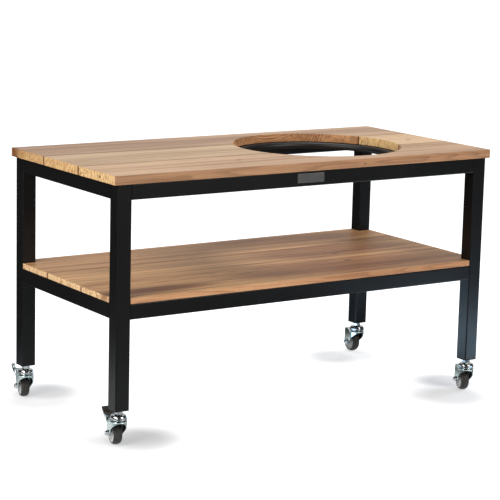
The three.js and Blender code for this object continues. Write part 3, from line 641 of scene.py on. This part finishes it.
def shelf_outline(row):
    """A shelf plank's outline from above: its box, with the outer planks' corners notched round the legs."""
    (x0, y0, _), (x1, y1, _) = box_of(f"shelf_plank_{row}")
    if row == "middle":
        return np.array([(x0, y0), (x1, y0), (x1, y1), (x0, y1)])
    (_, leg_front, _), (left, leg_rear, _) = box_of(f"leg_{row}_left")
    left, right = left + LEG_GAP, box_of(f"leg_{row}_right")[0][0] - LEG_GAP
    if row == "rear":
        notch = leg_front - LEG_GAP
        return np.array([(x0, y0), (x1, y0), (x1, notch), (right, notch), (right, y1), (left, y1), (left, notch),
                         (x0, notch)])
    notch = leg_rear + LEG_GAP
    return np.array([(x0, notch), (left, notch), (left, y0), (right, y0), (right, notch), (x1, notch), (x1, y1),
                     (x0, y1)])


def make_planks():
    """Four planks of the top and three thinner, browner ones of the shelf, each cut from its own trunk and with its
    arrises rounded."""
    for node, (face, side, end, seed, pith, *marks) in PLANKS.items():
        level, _, row = node.split("_", 2)
        (_, y0, z0), (_, y1, z1) = box_of(node)
        middle = (y0 + y1) / 2 + pith[0], (z0 + z1) / 2 + pith[1]
        front, rear = box_of(f"{level}_plank_front")[1][1], box_of(f"{level}_plank_rear")[0][1]
        name, slot, ease = LEVELS[level]
        wood = hardwood(f"{slot}_{row}", face, side, end, seed, middle, (front + SEAM_HALF, rear - SEAM_HALF),
                        *marks)
        outline = top_outline(row) if level == "top" else shelf_outline(row)
        make_piece(f"{name}_{row}", *loft(board(outline, z0, z1, ease)), wood, slot, "root", node)


def make_frame():
    """Every leg and rail is a square tube with round corners, open inside, that fills its CAD node's box."""
    tubes = [(f"leg_{corner}", f"leg_tube_{corner}", 2) for corner in CORNERS]
    tubes += [(f"{level}_rail_{side}", f"{level}_tube_{side}", axis) for level in ("top", "lower")
              for side, axis in (("front", 0), ("rear", 0), ("left", 1), ("right", 1), ("cross", 1))]
    for node, name, axis in tubes:
        make_piece(name, *square_tube(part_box(node), axis, TUBE_WALL, TUBE_CORNER), coat, "black_powder_coat", "root",
                   node)


def make_ring():
    """A round tube rolled into a ring: a circle carried round a circle."""
    tube = (ring_high[2] - ring_low[2]) / 2
    section = arc((ring_high[0] - ring_middle[0] - tube, 0), tube, 0, 360, 33)[:-1]
    make_piece("rolled_ring", *skin(turned_about(section, 200) + ring_middle), rolled_coat, "black_powder_coat",
               "root", "support_ring")


def make_plate():
    """The bare plate on the front rail: a thin sheet with round corners and broken front edges. A ring inside each
    face keeps its own shading flat."""
    low, high = box_of("name_plate")
    width, _, height = high - low
    outline = rounded_box(width, height, 2.0)
    middle, inner, broken = (low + high) / 2, outline * 0.9375, 0.3
    places = ((inner, high[1]), (outline, high[1]), (outline, low[1] + broken), (inset(outline, broken), low[1]),
              (inner, low[1]))
    rings = [np.insert(ring + middle[[0, 2]], 1, y, axis=1) for ring, y in places]
    make_piece("bare_plate", *loft(rings), plate_steel, "brushed_plate", "root", "name_plate")


make_planks()
make_frame()
make_ring()
make_plate()
# The inserts in the legs' feet keep their CAD shape
for corner in CORNERS:
    insert = frame["nodes"][f"leg_insert_{corner}"].data.materials
    insert.clear()
    insert.append(nylon)


# Castors. Each shape is made in a castor's own frame: x along its trail, y to its left, z up from the floor, in
# millimetres

ROUND = 96
WHEEL_RADIUS = 37.5
WHEEL_HALF = 14.5
TYRE_DEPTH = 7.0
TREAD_CROWN = 0.25
RIB_RISE, RIB_WIDTH = 1.5, 1.6
TRAIL = 32.0
CROWN_TOP = 87.0
HEAD_BOTTOM = 90.0
HEAD_TOP = 104.5
LEG_FOOT = 119.5
STEM_RADIUS = 7.9
THREAD_PITCH, THREAD_DEPTH = 1.5, 0.7
FORK_PLATE = 2.5
FORK_RADIUS = 27.5
FORK_HALF = 24.0
FORK_REACH = 46.0
FORK_END = (34.0, 42.0, 14.0)
FORK_FRONT_FOOT = 81.0
FORK_BEND = 4.0
ROOF_RISE, ROOF_START = 3.5, 24.0
RIM_SWELL, RIM_DROP, RIM_WIDTH, RIM_FADE = 1.2, 2.6, 1.3, 12.0
LEVER_PIVOT = (41.0, 79.0)
LEVER_REACH = 44.4
LEVER_RISE = 32.0
LEVER_TOP = np.array([(0.13, 0.38), (0.33, 0.46), (0.56, 0.62), (0.78, 0.85), (0.91, 0.97), (1, 1)])
LEVER_CURVE = np.polyfit(*LEVER_TOP.T, 3)
LEVER_INNER = FORK_HALF + 0.5
LEVER_PLATE = 2.5
LEVER_FLARE = 4.5
LEVER_EAR = 7.5
FLANGE_DEPTH = 10.0
RIDGE_PITCH, RIDGE_RISE, RIDGE_HALF = 5.5, 0.7, 20.0
PEDAL_DEGREES = {"front_left": 0, "rear_left": 10}
MIRROR = np.array([1, -1, 1])
UPRIGHT, SIDEWAYS = np.array([1, 0, 1]), np.array([0, 1, 0])


def stand(points, corner):
    """Points of a castor's own frame, put at its corner and turned to its trail."""
    swivel, wheel = (np.array(joints[f"{joint}_{corner}"]["pos_m"])[:2] / MM
                     for joint in ("swivel_turn", "wheel_spin"))
    along = (wheel - swivel) / np.linalg.norm(wheel - swivel)
    across = np.array([-along[1], along[0]])
    return np.column_stack([swivel + points[:, :1] * along + points[:, 1:2] * across, points[:, 2]])


def shell(outer, inner):
    """Points and faces of a sheet with a thickness: two equal grids and the four strips between their edges."""
    rows, columns = outer.shape[:2]
    count = rows * columns
    index = np.arange(count).reshape(rows, columns)
    sets = [grid_faces(rows, columns), grid_faces(rows, columns, first=count)]
    for edge in (index[0], index[-1], index[:, 0], index[:, -1]):
        sets.append(np.stack([edge[:-1], edge[1:], edge[1:] + count, edge[:-1] + count], 1))
    return np.concatenate([outer.reshape(-1, 3), inner.reshape(-1, 3)]), sets


def touching(point, centre, radius, side):
    """The angle at which a line from a point outside a circle touches it: the direction to the point turned by the
    arc cosine of radius over distance."""
    away = np.subtract(point, centre)
    return np.degrees(np.arctan2(away[1], away[0]) + side * np.arccos(radius / np.hypot(*away)))


def fork_plan():
    """The fork's left edge from above: the round front, a straight taper that touches it, and the flat cheek. Gives
    the distance along it, its points, its outward normals and the distance at which the round front ends."""
    bend = (TRAIL - FORK_END[2], FORK_HALF)
    front = arc((0, 0), FORK_RADIUS, 180, touching(bend, (0, 0), FORK_RADIUS, 1), 90)
    points = np.concatenate([front, np.linspace(front[-1], bend, 16)[1:],
                             np.linspace(bend, (FORK_REACH + 6, FORK_HALF), 30)[1:]])
    distance = np.concatenate([[0], np.cumsum(np.linalg.norm(np.diff(points, axis=0), axis=1))])
    direction = np.gradient(points, distance, axis=0)
    direction /= np.linalg.norm(direction, axis=1, keepdims=True)
    return distance, points, np.stack([-direction[:, 1], direction[:, 0]], 1), distance[len(front) - 1]


def fork_edge(distance, points):
    """The cheek's edge from the side, as distance along the plan and height, with the distance of the roof point
    above it: down the slope to the round end, about it, and up the rear edge."""
    foot, end, radius = (-FORK_RADIUS, FORK_FRONT_FOOT), np.array(FORK_END[:2]), FORK_END[2]
    rear_top = (FORK_REACH, CROWN_TOP + ROOF_RISE - FORK_BEND)
    first, last = touching(foot, end, radius, 1), touching(rear_top, end, radius, -1)
    about = arc(end, radius, first - 360 if first > 0 else first, last, 30)
    reach = np.interp(about[0][0], points[:, 0], distance)
    slope_s = np.linspace(0, reach, 56)
    slope_x = np.interp(slope_s, distance, points[:, 0])
    slope_z = foot[1] + (about[0][1] - foot[1]) * (slope_x - foot[0]) / (about[0][0] - foot[0])
    rest = np.concatenate([about[1:], np.linspace(about[-1], rear_top, 12)[1:]])
    rest_s = np.interp(rest[:, 0], points[:, 0], distance)
    roof_end = np.interp(FORK_REACH, points[:, 0], distance)
    roof_s = np.concatenate([slope_s, reach + (roof_end - reach) * np.linspace(0, 1, len(rest) + 1)[1:]])
    return np.concatenate([slope_s, rest_s]), np.concatenate([slope_z, rest[:, 1]]), roof_s


def mirrored_sheet(wall, bend, columns):
    """A pressing's whole skin from its left half: the wall, the bend above it, a top carried level to the middle in
    so many columns, and the same mirrored."""
    across = np.linspace(1, 0, columns)[None, 1:, None]
    level = bend[:, -1:] * UPRIGHT + bend[:, -1:] * SIDEWAYS * across
    half = np.concatenate([wall, bend, level], axis=1)
    return np.concatenate([half, half[:, -2::-1] * MIRROR], axis=1)


def fork_skin(depth):
    """The fork's skin at a depth below its outer face. Rows go from the front back. Columns go from the foot of one
    wall up, over a bend of constant radius, across the roof and down the other wall. The roof rises by a smooth
    step towards its rear edge and the outer face's rim swells by a bell curve."""
    distance, points, normals, front_end = fork_plan()
    edge_s, edge_z, roof_s = fork_edge(distance, points)
    roof_x = np.interp(roof_s, distance, points[:, 0])
    lift = np.clip((roof_x - ROOF_START) / (FORK_REACH - ROOF_START), 0, 1)
    roof_z = CROWN_TOP + ROOF_RISE * lift * lift * (3 - 2 * lift)
    swell = (depth == 0) * RIM_SWELL * np.clip(1 - (roof_s - front_end) / RIM_FADE, 0, 1)[:, None]

    def place(s, inward, z):
        inward = inward - swell * np.exp(-((z - roof_z[:, None] + RIM_DROP) / RIM_WIDTH) ** 2)
        x, y = (np.interp(s, distance, points[:, i]) - inward * np.interp(s, distance, normals[:, i])
                for i in (0, 1))
        return np.stack([x, np.maximum(y, 0), z], -1)

    up = np.linspace(0, 1, 26)[None]
    wall = place(edge_s[:, None] + (roof_s - edge_s)[:, None] * up, depth,
                 edge_z[:, None] + (roof_z - FORK_BEND - edge_z)[:, None] * up)
    turn = np.radians(np.linspace(0, 90, 8))[None, 1:]
    bend = place(np.repeat(roof_s[:, None], turn.shape[1], 1), depth + (FORK_BEND - depth) * (1 - np.cos(turn)),
                 roof_z[:, None] - FORK_BEND + (FORK_BEND - depth) * np.sin(turn))
    return mirrored_sheet(wall, bend, 9)


def race_seat():
    """The raised seat of the ball race on the crown: a low ring with a soft upper edge."""
    low = CROWN_TOP - 1
    return skin(turned_about(rounded_profile([
        (12, low, 0.2), (22, low, 0.2), (22, low + 2.4, 0.8), (18, low + 6.2, 1.2), (12, low + 6.2, 0.2)]), 64))


def swivel_head():
    """The swivel head: a pressed cup with a rolled lip, a full shoulder, a shallow dish round the nut and a wall
    2.5 mm thick inside."""
    low, high = HEAD_BOTTOM, HEAD_TOP
    return skin(turned_about(rounded_profile([
        (25.6, low, 0.4), (28.0, low, 0.6), (28.0, low + 1.7, 0.6), (26.6, low + 2.6, 0.5),
        (26.9, low + 8.2, 4.0), (23.0, high, 2.8), (18.8, high, 1.2), (17.2, high - 1.2, 0.9), (8.3, high - 1.2, 0.1),
        (8.3, high - 3.9, 0.1), (19.6, high - 3.4, 2.0), (24.0, low + 7.0, 3.0), (24.0, low + 1.5, 0.6)], 7), ROUND))


def hexagon(flats, low, high, chamfer):
    """Rings of a nut: the radius is that of a hexagon, half the width over flats over the cosine of the angle from
    the nearest flat's middle, cut at both ends by a cone that starts just inside the corners."""
    angle = np.linspace(0, 2 * np.pi, ROUND, endpoint=False)
    off = (angle + np.pi / 6) % (np.pi / 3) - np.pi / 6
    cone = np.array([0.97, 1.07, 2, 2, 2, 1.07, 0.97])[:, None]
    radius = flats / 2 * np.minimum(1 / np.cos(off), cone)
    rise = np.array([0, chamfer / 2, chamfer])
    height = np.concatenate([low + rise, [(low + high) / 2], high - rise[::-1]])[:, None]
    return np.stack([radius * np.cos(angle), radius * np.sin(angle), height + 0 * angle], -1)


def stem():
    """The stem: a riveted flange under the crown, a plain shank, the hexagon below the leg and a threaded end whose
    radius goes up and down by a saw wave."""
    under, nut_low, nut_high = CROWN_TOP - 3, HEAD_TOP - 0.6, LEG_FOOT - 0.2
    shank = [(12, under - 3.2), (13, under - 2.6), (13, under - 0.3), (8, under - 0.3), (8, nut_low)]
    heights = np.arange(LEG_FOOT + 1, LEG_FOOT + 19, THREAD_PITCH / 2)
    thread = [(STEM_RADIUS - THREAD_DEPTH * (i % 2), z) for i, z in enumerate(heights)]
    return loft(np.concatenate([
        turned_about(shank, ROUND), hexagon(24, nut_low, nut_high, 2.0),
        turned_about([(STEM_RADIUS, nut_high), *thread, (6.2, LEG_FOOT + 20)], ROUND)]))


def laid_across(rings, x=TRAIL, z=WHEEL_RADIUS):
    """Rings made about the z axis, laid along y at a place, the axle unless told: (x, y, z) becomes (x, z, y)."""
    return rings[..., [0, 2, 1]] + (x, 0, z)


def axle_bolt():
    """The axle bolt, from its low round head on the right to its broken end on the left."""
    right, left = -FORK_HALF - 0.3, FORK_HALF + 9.4
    return loft(laid_across(turned_about([
        (2.5, right - 3.0), (4.75, right - 2.8), (6.25, right - 2.2), (7.0, right - 1.2), (7.0, right), (5, right),
        (5, left), (4.3, left + 1)], ROUND)))


def lock_nut():
    """The nut on the left of the axle, with its flange and a domed collar round the bolt's end."""
    low = FORK_HALF + 0.3
    flange = [(9.4, low), (10.2, low + 0.3), (10.2, low + 1.1), (9.6, low + 1.4)]
    collar = [(7.4, low + 6.4), (7.1, low + 7.6), (6.2, low + 8.3), (5.2, low + 8.4), (5.2, low)]
    return skin(laid_across(np.concatenate([
        turned_about(flange, ROUND), hexagon(16, low + 1.4, low + 6.4, 1.0)[:-1], turned_about(collar, ROUND)])))


def tyre():
    """A rubber tyre with a crowned tread and rounded shoulders."""
    half, rim, shoulder, edge = WHEEL_HALF, WHEEL_RADIUS - TYRE_DEPTH, WHEEL_RADIUS - 0.9, WHEEL_RADIUS - 5.0
    tread = rounded_profile([
        (rim, -half, 0.3), (edge, -half, 2.0), (shoulder, -half + 6.0, 4.6), (WHEEL_RADIUS + TREAD_CROWN, 0, 6.0),
        (shoulder, half - 6.0, 4.6), (edge, half, 2.0), (rim, half, 0.3)], 9)
    return skin(laid_across(turned_about(tread, 128)))


def wheel_centre():
    """A moulded centre, dished between its rim and its boss. Its six shallow ribs are bell curves about every sixth
    of the turn, faded out at the rim and the boss."""
    half, rim = WHEEL_HALF, WHEEL_RADIUS - TYRE_DEPTH
    side = [(5.2, half + 4.6, 0.3), (9.6, half + 4.6, 0.8), (10.4, half - 2.6, 1.2), (24.2, half - 3.4, 1.2),
            (26.2, half - 1.0, 1.0), (rim - 0.2, half - 1.0, 0.4)]
    profile = rounded_profile(side + [(radius, -y, reach) for radius, y, reach in side[::-1]], 6)
    rings = turned_about(profile, 144)
    radius, angle = np.hypot(rings[..., 0], rings[..., 1]), np.arctan2(rings[..., 1], rings[..., 0])
    band = np.clip((radius - 11) / 2, 0, 1) * np.clip((24 - radius) / 2, 0, 1)
    rib = np.exp(-((np.angle(np.exp(6j * angle)) / 6 * radius / RIB_WIDTH) ** 2))
    rings[..., 2] += np.sign(rings[..., 2]) * RIB_RISE * band * rib
    return skin(laid_across(rings))


def lever_skin(depth):
    """The pedal's skin at a depth below its outer face. Its top line is the cubic nearest to six points. Rows go
    from the neck to the tip, columns from one flange's edge up, round a bend and over the tread to the other. The
    outer face of the tread has ridges, the upper halves of a sine wave."""
    px, pz = LEVER_PIVOT
    neck, tip = px + LEVER_REACH * LEVER_TOP[0, 0], px + LEVER_REACH

    def top(x):
        return pz + LEVER_RISE * np.polyval(LEVER_CURVE, (x - px) / LEVER_REACH)

    def half_width(x):
        flare = np.interp((x - px) / LEVER_REACH, [0.3, 0.5, 0.65, 0.8, 0.93, 0.98, 1],
                          [0, 0.6, 0.86, 1, 0.96, 0.82, 0.6])
        return LEVER_INNER + LEVER_PLATE + LEVER_FLARE * flare

    slant = np.linspace((neck, top(neck) - LEVER_PLATE), (px - LEVER_EAR, pz), 9)
    about = arc((px, pz), LEVER_EAR, 180, 350, 20)[1:]
    low_x = np.linspace(about[-1][0] + 1.5, tip, 34)
    flange = FLANGE_DEPTH * np.interp((low_x - px) / LEVER_REACH, [0.15, 0.33, 0.5, 0.68, 0.82],
                                      [1.2, 1, 0.8, 0.4, 0])
    lower = np.stack([low_x, top(low_x) - LEVER_PLATE - flange], 1)
    edge = np.concatenate([slant, about, lower])
    upper = np.concatenate([np.linspace(neck, neck + 3, len(slant) + len(about)),
                            np.linspace(neck + 3, tip, len(lower) + 1)[1:]])
    slope = np.gradient(top(upper), upper)
    normal = np.stack([-slope, np.ones_like(slope)], 1) / np.hypot(1, slope)[:, None]
    seat = np.stack([upper, top(upper)], 1) - LEVER_PLATE * normal
    wall = edge[:, None] + (seat - edge)[:, None] * np.linspace(0, 1, 12)[None, :, None]
    wall = np.stack([wall[..., 0], half_width(wall[..., 0]) - depth, wall[..., 1]], -1)
    turn = np.radians(np.linspace(0, 90, 7))[None, 1:]
    out, lift = (LEVER_PLATE - depth) * np.cos(turn), (LEVER_PLATE - depth) * np.sin(turn)
    bend = np.stack([seat[:, :1] + lift * normal[:, :1], half_width(upper)[:, None] - LEVER_PLATE + out,
                     seat[:, 1:] + lift * normal[:, 1:]], -1)
    sheet = mirrored_sheet(wall, bend, 22)
    if depth == 0:
        along = (upper - px) / LEVER_REACH
        wave = np.maximum(0, np.sin((along - 0.5) * LEVER_REACH * 2 * np.pi / RIDGE_PITCH))
        tread = sheet[:, wall.shape[1] + bend.shape[1]:-wall.shape[1] - bend.shape[1]]
        inside = np.clip((RIDGE_HALF - np.abs(tread[..., 1])) / 2, 0, 1)
        tread[..., 2] += RIDGE_RISE * (wave * (along > 0.5) * (along < 0.93))[:, None] * inside
    return sheet


def brake_pedal():
    """The pedal with its ridged tread, and the shoe under it: a block 18 mm wide with a round nose."""
    points, sets = shell(lever_skin(0.0), lever_skin(LEVER_PLATE))
    px, pz = LEVER_PIVOT
    nose = arc((px + 13, pz - 1.5), 4.2, 180, 360, 13)
    outline = np.concatenate([nose, [(px + 17.2, pz + 12.5), (px + 8.8, pz + 10.5)]])
    shoe, shoe_sets = loft([np.insert(outline, 1, y, axis=1) for y in (-9, 9)])
    return np.concatenate([points, shoe]), sets + [faces + len(points) for faces in shoe_sets]


def pressed(points, degrees):
    """Points of the pedal turned about its pin, down at the tip."""
    angle = np.radians(degrees)
    x, z = points[:, 0] - LEVER_PIVOT[0], points[:, 2] - LEVER_PIVOT[1]
    return np.stack([LEVER_PIVOT[0] + x * np.cos(angle) + z * np.sin(angle), points[:, 1],
                     LEVER_PIVOT[1] - x * np.sin(angle) + z * np.cos(angle)], -1)


def rivet_pin():
    """The pedal's pin with a domed head on both sides."""
    seat = LEVER_INNER + LEVER_PLATE + 0.3
    side = [(2.5, seat), (4.0, seat), (4.0, seat + 0.5), (3.2, seat + 1.1), (1.6, seat + 1.45), (0, seat + 1.5)]
    profile = [(radius, -y) for radius, y in side] + side[::-1]
    return skin(laid_across(turned_about(profile, 40), *LEVER_PIVOT))


# Each piece of a castor: its name and shape, its finish with the inner finish and the slot, the body that it rides
# on, the CAD node that it stands for, and by how much and from what angle on its edges are eased
TURNED = polished, None, "bright_zinc"
# The inner faces of a pressing take the darker zinc, which is partly painted shade
PRESSED = plated, plated_inside, "bright_zinc"
CASTOR = (
    ("threaded_stem", stem(), TURNED, "root", "castor_stem", 0.25, 28),
    ("swivel_head", swivel_head(), TURNED, "root", "castor_head", 0, 0),
    ("pressed_fork", shell(fork_skin(0.0), fork_skin(FORK_PLATE)), PRESSED, "swivel", "castor_fork", 0.5, 40),
    ("race_seat", race_seat(), (plated, None, "bright_zinc"), "swivel", None, 0, 0),
    ("axle_bolt", axle_bolt(), TURNED, "swivel", "castor_axle", 0.25, 28),
    ("lock_nut", lock_nut(), TURNED, "swivel", "castor_nut", 0.25, 28),
    ("rubber_tyre", tyre(), (tyre_rubber, None, "grey_rubber"), "wheel", "castor_tyre", 0, 0),
    ("wheel_centre", wheel_centre(), (wheel_plastic, None, "grey_hub"), "wheel", "castor_hub", 0, 0))
BRAKE = (
    ("brake_pedal", brake_pedal(), PRESSED, "brake", "brake_lever", 0.4, 40),
    ("rivet_pin", rivet_pin(), TURNED, "swivel", "brake_pin", 0, 0))

for corner in CORNERS:
    pieces = CASTOR + BRAKE if corner in PEDAL_DEGREES else CASTOR
    for name, (points, sets), (finish, inner, slot), body, node, ease, angle in pieces:
        if name == "brake_pedal":
            points = pressed(points, PEDAL_DEGREES[corner])
        body = body if body == "root" else f"{body}_{corner}"
        nodes = [f"{node}_{corner}"] if node else []
        piece = make_piece(f"{name}_{corner}", stand(points, corner), sets, finish, slot, body, *nodes, inner=inner)
        if ease:
            crisp(piece, ease, angle)
